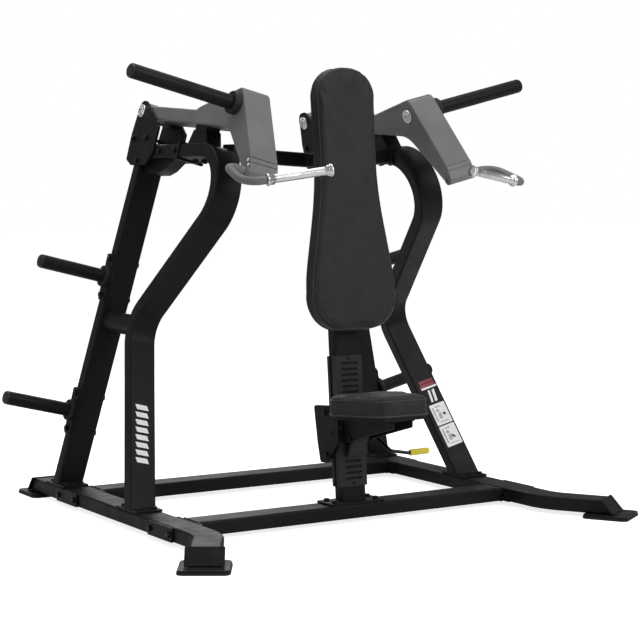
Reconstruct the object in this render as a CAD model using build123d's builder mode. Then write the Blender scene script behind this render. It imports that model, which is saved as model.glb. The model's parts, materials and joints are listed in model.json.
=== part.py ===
from build123d import *

import os
from math import cos, radians, sin, tan

# Plate-loaded shoulder press machine with two independent arms, in millimetres.
#
# -Y is the front, the side that the seated user faces, +X is on the right as
# seen from there, and +Z is up.  The origin is the middle of the footprint, on
# the floor.  Both side frames lean inwards, so each is drawn square to a tilted
# plane whose coordinates are (y, s, n): along the machine, up the lean, outwards.

os.makedirs("parts", exist_ok=True)

# Floor and base
PAD_T = 8                        # rubber sole under each foot plate
PLATE_T = 7                      # steel foot plate
TUBE_W, TUBE_H = 100, 50         # every frame tube is 100 x 50
WALL = 3
TUBE_R = 8                       # outer corner radius of a frame tube
BASE_Z = PAD_T + PLATE_T         # underside of the base tubes
DECK_Z = BASE_Z + TUBE_H         # top of the base tubes
HALF_BASE = 690                  # centre line of each side tube
SPLAY = 32                       # degrees, front ends turn outwards
BEND_Y = -542                    # where the splay begins
END_BELOW = (826, -760)          # middle of the front end's lower edge
MITRE_RUN = 44                   # how far the upper edge stands behind the lower
FOOT = 165
FOOT_R = 22
FOOT_LEAD = 58                   # the foot plate reaches this far past the tube
CROSSBAR_Y = (-306, 437)
FLANGE_T = 8
BOLT_SPREAD = 67                 # bolts stand this far either side of a joint
COLUMN_PLATE = (220, 170, 50)    # foot of the seat column: width, bolt spacings

# Side frames
LEAN = 14                        # degrees, inwards
HALF_T = TUBE_W / 2
KNEE = (254, 627)
NECK = (-21, 1107)               # centre of the front bulge
NECK_R = 145
KNEE_R = 120
UPRIGHT_TOP_S = 1252
UPRIGHT_BACK_Y = 134             # where the front upright's level end stops
REAR_FOOT_Y = 558
REAR_SLOPE = 0.086               # forward travel per mm up the lean
REAR_TOP_S = 1290
BRACE_S, BRACE_R = 620, 38       # round tube between the two uprights
CROSSBEAM_Y = -29

# Arms
PIVOT = (475, 1404)
ARM_DROP = 4.4                   # degrees, towards the front
SHAFT_R = 15
RUN_FIT = 0.05
HUB_R = 34
CHEEK_R = 40                     # round boss of each cheek, about the pivot
CHEEK_IN, CHEEK_OUT = 52, 60
CHEEK_BOLTS = [(502, 1300), (398, 1300), (438, 1215)]
BEAM_BOLTS = [(170, UPRIGHT_TOP_S), (290, UPRIGHT_TOP_S)]
LEVER_SKIN = 4
LEVER_EDGE = 6                   # rounding along the lever's outer edges
HORN_AT = (-219, 1403)
HORN_R = 25
HORN_SEAT_R = 24                 # the horn is turned down under its collar
HORN_TIP = 465
COLLAR_R, COLLAR_T = 39, 26
CAP_R, CAP_T, CAP_ROUND = 24.5, 10, 9.5
CAP_PLUG = 15                    # the cap's plug reaches this far into the tube
BOLT_HEAD_R = 24                 # large round head that clamps a horn
CROSS_HUB = (-383, 1170)
HANDLE_R = 13.5
GRIP_R = 14
GRIP_START = (-576, 1132, 82)
GRIP_END = (-624, 1215, -118)

# Storage horns
STORE_S = (778, 272)
STORE_TIP = 328
STORE_COLLAR = 17                # thickness of a storage horn's collar
STORE_DISC_R = 46                # round middle of a storage horn's flange

# Seat column
COLUMN_Y = -305
COLUMN_LEAN = 4.9
COLUMN_TOP = 1225
CHANNEL_T = 3.5
RACK_LOW, RACK_HIGH = 57, 512
SLOT_PITCH = 20
PAD_LOW, PAD_HIGH = 600, 1505
PAD_BACK, PAD_FRONT = 43, 97
BOARD_GAP = 6                    # steel between the column and the pad's board
SEAT_AT = (-408, 387)            # y, z where the seat pad is widest, on its board
SEAT_TILT = 3.2                  # degrees, front edge up
SEAT_T = 68
SEAT_BOARD_T = 12
SUPPORT_T = 6                    # steel plate under the seat's board
RELEASE_AT = (-366, 298)         # y, z of the pawl's shaft
ROD_R = 6
ROD_END = 218                    # how far sideways the release rod reaches
GRIP_AT, GRIP_SIZE = 140, (11, 78)  # start, radius and length of its yellow grip

# Fasteners
BOLT_R = 6
HEX_R = 11
HEAD_H = 9
HOLE_R = BOLT_R + 0.5            # clearance hole for a bolt
BOLT_CIRCLE_R = 14               # raised middle of a large round head

SIDE = Plane(
    origin=(HALF_BASE, 0, DECK_Z),
    x_dir=(0, 1, 0),
    z_dir=(cos(radians(LEAN)), 0, sin(radians(LEAN))),
)
SIDE_NORMAL = Axis(SIDE.origin, SIDE.z_dir)
TILT = radians(COLUMN_LEAN)
COLUMN_UP = Plane(origin=(0, COLUMN_Y, DECK_Z), x_dir=(1, 0, 0), z_dir=(0, sin(TILT), cos(TILT)))
COLUMN_FACE = Plane(origin=(0, COLUMN_Y, DECK_Z), x_dir=(1, 0, 0), z_dir=(0, -cos(TILT), sin(TILT)))
COLUMN_SIDE = Plane(origin=(0, COLUMN_Y, DECK_Z), x_dir=(0, cos(TILT), -sin(TILT)), z_dir=(1, 0, 0))


def save(piece, name):
    """Label a finished piece and write it as one STEP file."""
    piece.part.label = name
    export_step(piece.part, f"parts/{name}.step")


def save_pair(piece, name):
    """Write a right-hand piece and its left-hand mirror image as two nodes."""
    with BuildPart() as twin:
        mirror(piece.part, about=Plane.YZ)
    save(piece, f"{name}_right")
    save(twin, f"{name}_left")


def save_group(piece, name):
    """Write a right-hand piece and its mirror image together in one node."""
    with BuildPart() as group:
        add(piece.part)
        mirror(piece.part, about=Plane.YZ)
    save(group, name)


def side_point(y, s, n=0):
    """World position of a point given in side-frame coordinates."""
    return SIDE.from_local_coords(Vector(y, s, n))


def tube_section(plane, across, deep):
    """Hollow tube section with rounded corners, ready to sweep or extrude."""
    with BuildSketch(plane) as section:
        RectangleRounded(across, deep, TUBE_R)
        RectangleRounded(across - 2 * WALL, deep - 2 * WALL, TUBE_R - WALL, mode=Mode.SUBTRACT)
    return section.sketch


def discs(plane, points, radius):
    """Round faces on a plane at the given local points."""
    with BuildSketch(plane) as section:
        with Locations(*points):
            Circle(radius)
    return section.sketch


def round_bar(plane, points, radius, length):
    """Round bars standing on a plane at the given local points."""
    extrude(discs(plane, points, radius), amount=length)


def drill(plane, points, radius, depth):
    """Round holes cut down from a plane at the given local points."""
    extrude(discs(plane, points, radius), amount=-depth, mode=Mode.SUBTRACT)


def hex_bolts(plane, points, grip):
    """Hex bolts with their heads on a plane and their nuts a grip below it."""
    for level, height in ((0, HEAD_H), (-grip, -HEAD_H)):
        with BuildSketch(plane.offset(level)) as ends:
            with Locations(*points):
                RegularPolygon(HEX_R, 6)
        extrude(ends.sketch, amount=height)
    round_bar(plane.offset(-grip), points, BOLT_R, grip)


def outline(plane, points, corner=0):
    """Polygon face on a plane, with its corners rounded."""
    with BuildSketch(plane) as shape:
        with BuildLine():
            Polyline(*points, close=True)
        make_face()
        if corner:
            fillet(shape.vertices(), corner)
    return shape.sketch


# ---------------------------------------------------------------- base frame
SPLAY_DIR = Vector(sin(radians(SPLAY)), -cos(radians(SPLAY)), 0)
SPLAY_SIDE = Vector(cos(radians(SPLAY)), sin(radians(SPLAY)), 0)
FRONT_FOOT = Vector(*END_BELOW, 0) + SPLAY_DIR * (FOOT_LEAD - FOOT / 2)
CORNER_REACH = (FOOT / 2 - FOOT_R) * (cos(radians(SPLAY)) + sin(radians(SPLAY))) + FOOT_R
HALF_LENGTH = CORNER_REACH - FRONT_FOOT.Y
REAR_END_Y = HALF_LENGTH - FOOT_LEAD
REAR_FOOT = Vector(HALF_BASE, HALF_LENGTH - FOOT / 2, 0)
FRONT_MITRE = Plane(
    origin=(*END_BELOW, BASE_Z),
    x_dir=SPLAY_SIDE,
    z_dir=SPLAY_DIR * TUBE_H + Vector(0, 0, MITRE_RUN),
)
REAR_MITRE = Plane(
    origin=(HALF_BASE, REAR_END_Y, BASE_Z), x_dir=(-1, 0, 0), z_dir=(0, TUBE_H, MITRE_RUN)
)
BAR_Z = BASE_Z + TUBE_H / 2
CROSS_BOLTS = [(y + step, 0) for y in CROSSBAR_Y for step in (-BOLT_SPREAD, BOLT_SPREAD)]
OUTER_FACE = Plane(origin=(HALF_BASE + HALF_T, 0, BAR_Z), x_dir=(0, 1, 0), z_dir=(1, 0, 0))
PLATE_HALF = BOLT_SPREAD + 20
DECK_PLATE = (100, 160)
DECK_STATIONS = (KNEE[0] - 0.48 * KNEE[1] + 4, REAR_FOOT_Y)
DECK_BOLTS = [
    (HALF_BASE + across, y + along)
    for y in DECK_STATIONS
    for across in (-27, 27)
    for along in (-60, 60)
]

with BuildPart() as side_base:
    with BuildLine() as side_path:
        FilletPolyline(
            (HALF_BASE, REAR_END_Y, BAR_Z),
            (HALF_BASE, BEND_Y, BAR_Z),
            (*END_BELOW, BAR_Z),
            radius=200,
        )
    start = Plane(origin=(HALF_BASE, REAR_END_Y, BAR_Z), x_dir=(1, 0, 0), z_dir=(0, -1, 0))
    sweep(tube_section(start, TUBE_W, TUBE_H), path=side_path.line)
    split(bisect_by=FRONT_MITRE, keep=Keep.BOTTOM)
    split(bisect_by=REAR_MITRE, keep=Keep.BOTTOM)
    drill(OUTER_FACE, CROSS_BOLTS, HOLE_R, TUBE_W)
    drill(Plane.XY.offset(DECK_Z), DECK_BOLTS, HOLE_R, 2 * WALL)
save_pair(side_base, "side_base")

with BuildPart() as toe_plates:
    toe_length = (TUBE_H**2 + MITRE_RUN**2) ** 0.5
    for mitre in (FRONT_MITRE, REAR_MITRE):
        with BuildSketch(mitre):
            with Locations((0, toe_length / 2 + 1)):
                RectangleRounded(TUBE_W + 24, toe_length + 2, 4)
        extrude(amount=5)
    split(bisect_by=Plane.XY.offset(BASE_Z), keep=Keep.TOP)
save_group(toe_plates, "toe_plates")

FOOT_PLANES = [
    Plane(origin=FRONT_FOOT, x_dir=SPLAY_SIDE, z_dir=(0, 0, 1)),
    Plane(origin=REAR_FOOT, x_dir=(1, 0, 0), z_dir=(0, 0, 1)),
]
with BuildPart() as foot_pads:
    for foot in FOOT_PLANES:
        with BuildSketch(foot):
            RectangleRounded(FOOT, FOOT, FOOT_R)
        extrude(amount=PAD_T)
    chamfer(foot_pads.faces().sort_by(Axis.Z)[:2].edges(), 1.5)
save_group(foot_pads, "foot_pads")

with BuildPart() as foot_plates:
    for foot in FOOT_PLANES:
        with BuildSketch(foot.offset(PAD_T)):
            RectangleRounded(FOOT - 4, FOOT - 4, FOOT_R - 2)
        extrude(amount=PLATE_T)
save_group(foot_plates, "foot_plates")

BAR_HALF = HALF_BASE - HALF_T - FLANGE_T
COLUMN_BOLTS = [
    (x, COLUMN_Y + y)
    for x in (-COLUMN_PLATE[1] / 2, COLUMN_PLATE[1] / 2)
    for y in (-COLUMN_PLATE[2] / 2, COLUMN_PLATE[2] / 2)
]
for bar_name, bar_y in zip(("front_crossbar", "rear_crossbar"), CROSSBAR_Y):
    with BuildPart() as crossbar:
        bar_end = Plane(origin=(-BAR_HALF, bar_y, BAR_Z), x_dir=(0, 1, 0), z_dir=(1, 0, 0))
        extrude(tube_section(bar_end, TUBE_W, TUBE_H), amount=2 * BAR_HALF)
        if bar_name == "front_crossbar":
            drill(Plane.XY.offset(DECK_Z), COLUMN_BOLTS, HOLE_R, 2 * WALL)
    save(crossbar, bar_name)

with BuildPart() as crossbar_flanges:
    for level in (0, -TUBE_W - FLANGE_T):
        with BuildSketch(OUTER_FACE.offset(level)):
            with Locations(*[(y, 0) for y in CROSSBAR_Y]):
                RectangleRounded(2 * PLATE_HALF, TUBE_H - 2, 3)
            with Locations(*CROSS_BOLTS):
                Circle(HOLE_R, mode=Mode.SUBTRACT)
        extrude(amount=FLANGE_T)
save_group(crossbar_flanges, "crossbar_flanges")

with BuildPart() as base_plates:
    with BuildSketch(Plane.XY.offset(DECK_Z)):
        with Locations(*[(HALF_BASE, y) for y in DECK_STATIONS]):
            RectangleRounded(*DECK_PLATE, 5)
        with Locations(*DECK_BOLTS):
            Circle(HOLE_R, mode=Mode.SUBTRACT)
    extrude(amount=FLANGE_T)
    mirror(about=Plane.YZ)
    with BuildSketch(Plane.XY.offset(DECK_Z)):
        with Locations((0, COLUMN_Y)):
            RectangleRounded(COLUMN_PLATE[0], TUBE_W, 5)
        with Locations(*COLUMN_BOLTS):
            Circle(HOLE_R, mode=Mode.SUBTRACT)
    extrude(amount=FLANGE_T)
save(base_plates, "base_plates")

with BuildPart() as base_bolts:
    hex_bolts(OUTER_FACE.offset(FLANGE_T), CROSS_BOLTS, TUBE_W + 2 * FLANGE_T)
    hex_bolts(Plane.XY.offset(DECK_Z + FLANGE_T), DECK_BOLTS, FLANGE_T + WALL)
    hex_bolts(Plane.XY.offset(DECK_Z + FLANGE_T), COLUMN_BOLTS[2:], FLANGE_T + WALL)
save_group(base_bolts, "base_bolts")

# -------------------------------------------------------------- side uprights
DECK_TOP = Plane.XY.offset(DECK_Z + FLANGE_T)
with BuildPart() as front_upright:
    below = 60
    foot_y = KNEE[0] - 0.48 * (KNEE[1] + below)
    touch = NECK_R * cos(radians(45))
    with BuildLine(SIDE) as front_path:
        shin = FilletPolyline(
            (foot_y, -below), KNEE, (NECK[0] - touch, NECK[1] - touch), radius=KNEE_R
        )
        bulge = ThreePointArc(shin @ 1, (NECK[0] - NECK_R, NECK[1]), (NECK[0], NECK[1] + NECK_R))
        Line(bulge @ 1, (UPRIGHT_BACK_Y, UPRIGHT_TOP_S))
    start = Plane(origin=front_path.line @ 0, x_dir=SIDE.z_dir, z_dir=front_path.line % 0)
    sweep(tube_section(start, TUBE_W, TUBE_H), path=front_path.line)
    split(bisect_by=DECK_TOP, keep=Keep.TOP)
save_pair(front_upright, "front_upright")


def rear_y(s):
    """Centre line of the rear upright at a height up the lean."""
    return REAR_FOOT_Y - REAR_SLOPE * s


with BuildPart() as rear_upright:
    start_point = side_point(rear_y(-60), -60)
    end_point = side_point(rear_y(REAR_TOP_S), REAR_TOP_S)
    rear_plane = Plane(origin=start_point, x_dir=SIDE.z_dir, z_dir=end_point - start_point)
    extrude(tube_section(rear_plane, TUBE_W, TUBE_H), amount=(end_point - start_point).length)
    split(bisect_by=DECK_TOP, keep=Keep.TOP)
    store_bolts = [(rear_y(s + d), s + d) for s in STORE_S for d in (-BOLT_SPREAD, BOLT_SPREAD)]
    drill(SIDE.offset(HALF_T), store_bolts + CHEEK_BOLTS, HOLE_R, TUBE_W)
save_pair(rear_upright, "rear_upright")

REAR_MIDDLE = Plane(
    origin=start_point, x_dir=SIDE.z_dir, z_dir=(end_point - start_point).cross(SIDE.z_dir)
)
REAR_FRONT_FACE = REAR_MIDDLE.offset(-TUBE_H / 2)
with BuildPart() as side_braces:
    with BuildSketch(Plane(origin=side_point(0, BRACE_S), x_dir=SIDE.z_dir, z_dir=(0, 1, 0))):
        Circle(BRACE_R)
        Circle(BRACE_R - WALL, mode=Mode.SUBTRACT)
    extrude(amount=REAR_FOOT_Y)
    split(bisect_by=REAR_FRONT_FACE, keep=Keep.BOTTOM)
    add(front_upright.part, mode=Mode.SUBTRACT)
    add(side_braces.solids().sort_by(Axis.Y)[-1], mode=Mode.REPLACE)
save_group(side_braces, "side_braces")

with BuildPart() as top_beams:
    beam_end = Plane(
        origin=side_point(UPRIGHT_BACK_Y + 2 * FLANGE_T, UPRIGHT_TOP_S), x_dir=SIDE.z_dir, z_dir=(0, 1, 0)
    )
    extrude(tube_section(beam_end, TUBE_W, TUBE_H), amount=REAR_FOOT_Y)
    split(bisect_by=REAR_FRONT_FACE, keep=Keep.BOTTOM)
    drill(SIDE.offset(HALF_T), BEAM_BOLTS, HOLE_R, TUBE_W)
save_group(top_beams, "top_beams")

with BuildPart() as frame_gussets:
    with BuildSketch(SIDE.offset(-HALF_T - 4)) as joint:
        with Locations((UPRIGHT_BACK_Y + FLANGE_T, UPRIGHT_TOP_S)):
            Rectangle(2 * FLANGE_T, TUBE_H + 16)
    extrude(joint.sketch, amount=TUBE_W + 8)
    with BuildSketch(SIDE.offset(-HALF_T - FLANGE_T)) as landing:
        with Locations((CROSSBEAM_Y, UPRIGHT_TOP_S + 11)):
            Rectangle(80, 65)
    extrude(landing.sketch, amount=FLANGE_T)
    web = [(205, 1227), (440, 1227), (448, 1178), (310, 1178), (264, 1192)]
    extrude(outline(SIDE.offset(-25), web), amount=50)
    split(bisect_by=REAR_FRONT_FACE, keep=Keep.BOTTOM)
save_group(frame_gussets, "frame_gussets")

# ------------------------------------------------------------- arm pivots
with BuildPart() as pivot_brackets:
    cheek = [(529, 1316), (529, 1222), (484, 1200), (372, 1200), (322, 1250), (318, 1340),
             (446, 1432), (504, 1432), (513, 1400)]
    for level in (CHEEK_IN, -CHEEK_OUT):
        extrude(outline(SIDE.offset(level), cheek, 8), amount=CHEEK_OUT - CHEEK_IN)
        round_bar(SIDE.offset(level), [PIVOT], CHEEK_R, CHEEK_OUT - CHEEK_IN)
    drill(SIDE.offset(CHEEK_OUT), [PIVOT], SHAFT_R, 2 * CHEEK_OUT)
    drill(SIDE.offset(CHEEK_OUT), CHEEK_BOLTS, HOLE_R, 2 * CHEEK_OUT)
save_group(pivot_brackets, "pivot_brackets")

with BuildPart() as pivot_shafts:
    round_bar(SIDE.offset(-CHEEK_OUT), [PIVOT], SHAFT_R, 2 * CHEEK_OUT)
save_group(pivot_shafts, "pivot_shafts")

with BuildPart() as pivot_caps:
    for level, height in ((CHEEK_OUT, HEAD_H), (-CHEEK_OUT, -HEAD_H)):
        round_bar(SIDE.offset(level), [PIVOT], BOLT_HEAD_R, height)
        round_bar(SIDE.offset(level + height), [PIVOT], BOLT_CIRCLE_R, height / 3)
save_group(pivot_caps, "pivot_caps")


def arm_line(y, offset=0):
    """Height up the lean of the arm tube's centre line, or of a line beside it."""
    return PIVOT[1] - tan(radians(ARM_DROP)) * (PIVOT[0] - y) + offset / cos(radians(ARM_DROP))


STOP_TOP = 1330
STOP_GAP = 0.6                   # daylight between the rubber and the resting arm
with BuildPart() as stop_posts:
    stop = [(-18, 1277), (124, 1277), (98, STOP_TOP), (6, STOP_TOP)]
    extrude(outline(SIDE.offset(-30), stop), amount=60)
save_group(stop_posts, "stop_posts")

with BuildPart() as stop_bumpers:
    rest_line = [(y, arm_line(y, -TUBE_H / 2) - STOP_GAP) for y in (94, 10)]
    extrude(outline(SIDE.offset(-27), [(10, STOP_TOP), (94, STOP_TOP), *rest_line]), amount=54)
save_group(stop_bumpers, "stop_bumpers")

with BuildPart() as upper_bolts:
    hex_bolts(SIDE.offset(CHEEK_OUT), CHEEK_BOLTS, 2 * CHEEK_OUT)
    hex_bolts(SIDE.offset(HALF_T), BEAM_BOLTS, TUBE_W)
    for y in (27, 91):
        hex_head = Plane(origin=side_point(y, UPRIGHT_TOP_S - TUBE_H / 2), x_dir=(0, 1, 0),
                         z_dir=-SIDE.y_dir)
        with BuildSketch(hex_head) as head:
            RegularPolygon(HEX_R, 6)
        extrude(head.sketch, amount=HEAD_H + 4)
save_group(upper_bolts, "upper_bolts")

CROSSBEAM_FRONT = Plane(origin=(0, CROSSBEAM_Y - TUBE_H / 2, 1257), x_dir=(1, 0, 0), z_dir=(0, -1, 0))
with BuildPart() as upper_crossbeam:
    reach = 380
    with BuildLine() as beam_path:
        FilletPolyline(
            (-reach, CROSSBEAM_Y, 1278), (0, CROSSBEAM_Y, 1257), (reach, CROSSBEAM_Y, 1278), radius=300
        )
    start = Plane(origin=beam_path.line @ 0, x_dir=(0, 1, 0), z_dir=beam_path.line % 0)
    sweep(tube_section(start, TUBE_H, TUBE_H), path=beam_path.line)
    split(bisect_by=SIDE.offset(-HALF_T - FLANGE_T), keep=Keep.BOTTOM)
    split(bisect_by=Plane.YZ, keep=Keep.TOP)
    mirror(about=Plane.YZ)
save(upper_crossbeam, "upper_crossbeam")

# ------------------------------------------------------------------- arms
ARM_FRONT_Y = -146
ARM_DIR = (side_point(-cos(radians(ARM_DROP)), -sin(radians(ARM_DROP))) - side_point(0, 0)).normalized()
BEARING_R = 22
PIVOT_POINT = side_point(*PIVOT)
with BuildPart() as arm_beam:
    beam_plane = Plane(origin=PIVOT_POINT, x_dir=SIDE.z_dir, z_dir=ARM_DIR)
    extrude(tube_section(beam_plane, TUBE_W, TUBE_H),
            amount=(PIVOT[0] - ARM_FRONT_Y) / cos(radians(ARM_DROP)))
    drill(SIDE.offset(HALF_T), [PIVOT], HUB_R - 1, TUBE_W)
    round_bar(SIDE.offset(-HALF_T), [PIVOT], HUB_R, TUBE_W)
    drill(SIDE.offset(HALF_T), [PIVOT], BEARING_R, TUBE_W)
save_pair(arm_beam, "arm_beam")

with BuildPart() as arm_bearings:
    for level in (HALF_T - 20, -HALF_T):
        round_bar(SIDE.offset(level), [PIVOT], BEARING_R, 20)
    drill(SIDE.offset(HALF_T), [PIVOT], SHAFT_R + RUN_FIT, TUBE_W)
save_pair(arm_bearings, "arm_bearings")

LEVER_HALF = HALF_T + LEVER_SKIN
LEVER = [
    (59, arm_line(59, -TUBE_H / 2)),
    (-188, arm_line(-188, -TUBE_H / 2)),
    (CROSS_HUB[0] + 13.6, CROSS_HUB[1] - 14.6),
    (CROSS_HUB[0] - 20, CROSS_HUB[1] + 2),
    (-390, 1219),
    (-235.6, 1464),
    (4, 1415),
    (59, arm_line(59, TUBE_H / 2)),
]
SOCKET = [
    (59, arm_line(59, -TUBE_H / 2)),
    (ARM_FRONT_Y, arm_line(ARM_FRONT_Y, -TUBE_H / 2)),
    (ARM_FRONT_Y - 8, arm_line(ARM_FRONT_Y - 8, TUBE_H / 2)),
    (70, arm_line(70, TUBE_H / 2)),
    (70, arm_line(70, -TUBE_H / 2)),
]
# Fractions of the way up the short front face where the clamp's joints show
CLAMP_LINES = (0.62, 0.97)
CLAMP_FOOT, CLAMP_HEAD = (CROSS_HUB[0] - 20, CROSS_HUB[1] + 2), (-390, 1219)
CLAMP_TURN = -15.5               # degrees, square to the clamp's front face
GROOVE = (6, 4)                  # half of its first size is the groove's depth
with BuildPart() as arm_lever:
    with BuildSketch(SIDE.offset(-LEVER_HALF)) as lever_face:
        with BuildLine():
            Polyline(*LEVER, close=True)
        make_face()
        for corner, radius in ((LEVER[1], 115), (LEVER[5], 26)):
            fillet(lever_face.vertices().sort_by_distance(corner)[0], radius)
    extrude(amount=2 * LEVER_HALF)
    for level in (-LEVER_HALF, LEVER_HALF):
        rim = arm_lever.edges().filter_by_position(SIDE_NORMAL, level - 0.1, level + 0.1)
        fillet([edge for edge in rim if -388 < (edge @ 0.5).Y < 2], LEVER_EDGE)
    round_bar(SIDE.offset(-LEVER_HALF), [CROSS_HUB], 20, 2 * LEVER_HALF)
    with BuildSketch(SIDE.offset(-HALF_T)) as cavity:
        with BuildLine():
            Polyline(*LEVER, close=True)
        make_face()
        fillet(cavity.vertices().sort_by_distance(LEVER[1])[0], 115)
        offset(amount=-LEVER_SKIN, kind=Kind.INTERSECTION, mode=Mode.REPLACE)
    extrude(amount=TUBE_W, mode=Mode.SUBTRACT)
    extrude(outline(SIDE.offset(-HALF_T), SOCKET), amount=TUBE_W, mode=Mode.SUBTRACT)
    round_bar(SIDE.offset(-LEVER_HALF), [CROSS_HUB], 18, 2 * LEVER_HALF + 8)
    drill(SIDE.offset(LEVER_HALF + 8), [CROSS_HUB], HANDLE_R, 2 * LEVER_HALF + 8)
    drill(SIDE.offset(LEVER_HALF), [HORN_AT], 10.5, 2 * LEVER_HALF)
    for part_way in CLAMP_LINES:
        groove_at = tuple(low + part_way * (high - low) for low, high in zip(CLAMP_FOOT, CLAMP_HEAD))
        with BuildSketch(SIDE.offset(-LEVER_HALF)) as groove:
            with Locations(Location((*groove_at, 0), (0, 0, CLAMP_TURN))):
                Rectangle(*GROOVE)
        extrude(groove.sketch, amount=2 * LEVER_HALF, mode=Mode.SUBTRACT)
save_pair(arm_lever, "arm_lever")

LEVER_OUT = SIDE.offset(LEVER_HALF)
LEVER_IN = SIDE.offset(-LEVER_HALF)
PLUG_END = 115                   # the horn is solid up to here, for its bolt
CLAMP_R = 10                     # shank of the bolt that holds the horn
SHANK_GAP = 10                   # left free at the end of the bolt's hole
HORN_END = HORN_TIP - CAP_T
with BuildPart() as arm_horn:
    round_bar(LEVER_OUT, [HORN_AT], HORN_SEAT_R, COLLAR_T)
    round_bar(LEVER_OUT.offset(COLLAR_T), [HORN_AT], HORN_R, HORN_END - LEVER_HALF - COLLAR_T)
    drill(SIDE.offset(HORN_END), [HORN_AT], HORN_R - WALL, HORN_END - PLUG_END)
    drill(SIDE.offset(PLUG_END), [HORN_AT], CLAMP_R, PLUG_END - LEVER_HALF)
save_pair(arm_horn, "arm_horn")

with BuildPart() as arm_horn_collar:
    round_bar(LEVER_OUT, [HORN_AT], COLLAR_R, COLLAR_T)
    fillet(arm_horn_collar.edges(), 3)
    drill(SIDE.offset(LEVER_HALF + COLLAR_T), [HORN_AT], HORN_SEAT_R, COLLAR_T)
save_pair(arm_horn_collar, "arm_horn_collar")


def end_caps(tip, points):
    """Domed caps on the ends of horns, each with a plug inside the tube."""
    face = SIDE.offset(tip - CAP_T)
    round_bar(face, points, CAP_R, CAP_T)
    rims = edges().filter_by(GeomType.CIRCLE).sort_by(SIDE_NORMAL)[-len(points):]
    fillet(rims, CAP_ROUND)
    round_bar(face, points, HORN_R - WALL, -CAP_PLUG)


with BuildPart() as arm_horn_cap:
    end_caps(HORN_TIP, [HORN_AT])
save_pair(arm_horn_cap, "arm_horn_cap")

with BuildPart() as arm_horn_bolt:
    round_bar(LEVER_IN, [HORN_AT], BOLT_HEAD_R, -HEAD_H)
    round_bar(LEVER_IN.offset(-HEAD_H), [HORN_AT], BOLT_CIRCLE_R, -HEAD_H / 3)
    round_bar(LEVER_IN, [HORN_AT], CLAMP_R, PLUG_END + LEVER_HALF - SHANK_GAP)
save_pair(arm_horn_bolt, "arm_horn_bolt")

GRIP_FROM, GRIP_TO = side_point(*GRIP_START), side_point(*GRIP_END)
GRIP_AXIS = (GRIP_TO - GRIP_FROM).normalized()
GRIP_LENGTH = (GRIP_TO - GRIP_FROM).length
GRIP_PLANE = Plane(origin=GRIP_FROM, z_dir=GRIP_AXIS)
SPIGOT_R = 10
GRIP_RINGS = ((21, 6), (18, 8))  # radius and length of each step of a grip's ends
RING_SPAN = 14
SPIGOT_BACK = 9                  # the spigot starts this far inside the handle tube
with BuildPart() as arm_handle:
    with BuildLine() as handle_path:
        FilletPolyline(
            side_point(*CROSS_HUB, -HALF_T),
            side_point(*CROSS_HUB, 140),
            GRIP_FROM - GRIP_AXIS * 75,
            GRIP_FROM,
            radius=64,
        )
    start = Plane(origin=handle_path.line @ 0, z_dir=handle_path.line % 0)
    with BuildSketch(start) as ring:
        Circle(HANDLE_R)
        Circle(SPIGOT_R, mode=Mode.SUBTRACT)
    sweep(ring.sketch, path=handle_path.line)
    round_bar(GRIP_PLANE.offset(-SPIGOT_BACK), [(0, 0)], SPIGOT_R, GRIP_LENGTH)
    round_bar(start, [(0, 0)], SPIGOT_R, SPIGOT_BACK)
save_pair(arm_handle, "arm_handle")

with BuildPart() as arm_grip:
    round_bar(GRIP_PLANE, [(0, 0)], GRIP_R, GRIP_LENGTH)
    for at in (0, GRIP_LENGTH - RING_SPAN):
        for radius, length in GRIP_RINGS:
            round_bar(GRIP_PLANE.offset(at), [(0, 0)], radius, length)
            at += length
    drill(GRIP_PLANE.offset(GRIP_LENGTH - SPIGOT_BACK), [(0, 0)], SPIGOT_R, GRIP_LENGTH - SPIGOT_BACK)
save_pair(arm_grip, "arm_grip")

# ---------------------------------------------------------- storage horns
STORE_AT = [(rear_y(s), s) for s in STORE_S]
STORE_FACE = SIDE.offset(HALF_T + FLANGE_T)
with BuildPart() as storage_flanges:
    with BuildSketch(SIDE.offset(HALF_T)) as plates:
        with Locations(*STORE_AT):
            RectangleRounded(TUBE_H, 2 * PLATE_HALF, 10)
            Circle(STORE_DISC_R)
        with Locations(*store_bolts):
            Circle(HOLE_R, mode=Mode.SUBTRACT)
    extrude(amount=FLANGE_T)
save_group(storage_flanges, "storage_flanges")

with BuildPart() as storage_horns:
    bare = STORE_TIP - CAP_T - HALF_T - FLANGE_T - STORE_COLLAR
    round_bar(STORE_FACE, STORE_AT, HORN_SEAT_R, STORE_COLLAR)
    round_bar(STORE_FACE.offset(STORE_COLLAR), STORE_AT, HORN_R, bare)
    drill(SIDE.offset(STORE_TIP - CAP_T), STORE_AT, HORN_R - WALL, STORE_TIP - CAP_T)
save_group(storage_horns, "storage_horns")

with BuildPart() as storage_collars:
    round_bar(STORE_FACE, STORE_AT, COLLAR_R, STORE_COLLAR)
    fillet(storage_collars.edges(), 3)
    drill(STORE_FACE.offset(STORE_COLLAR), STORE_AT, HORN_SEAT_R, STORE_COLLAR)
save_group(storage_collars, "storage_collars")

with BuildPart() as storage_caps:
    end_caps(STORE_TIP, STORE_AT)
save_group(storage_caps, "storage_caps")

with BuildPart() as storage_bolts:
    hex_bolts(STORE_FACE, store_bolts, TUBE_W + FLANGE_T)
save_group(storage_bolts, "storage_bolts")

# ------------------------------------------------------------ seat column
HALF_D = TUBE_H / 2
with BuildPart() as seat_column:
    extrude(tube_section(COLUMN_UP, TUBE_W, TUBE_H), amount=COLUMN_TOP)
    split(bisect_by=DECK_TOP, keep=Keep.TOP)
save(seat_column, "seat_column")

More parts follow.
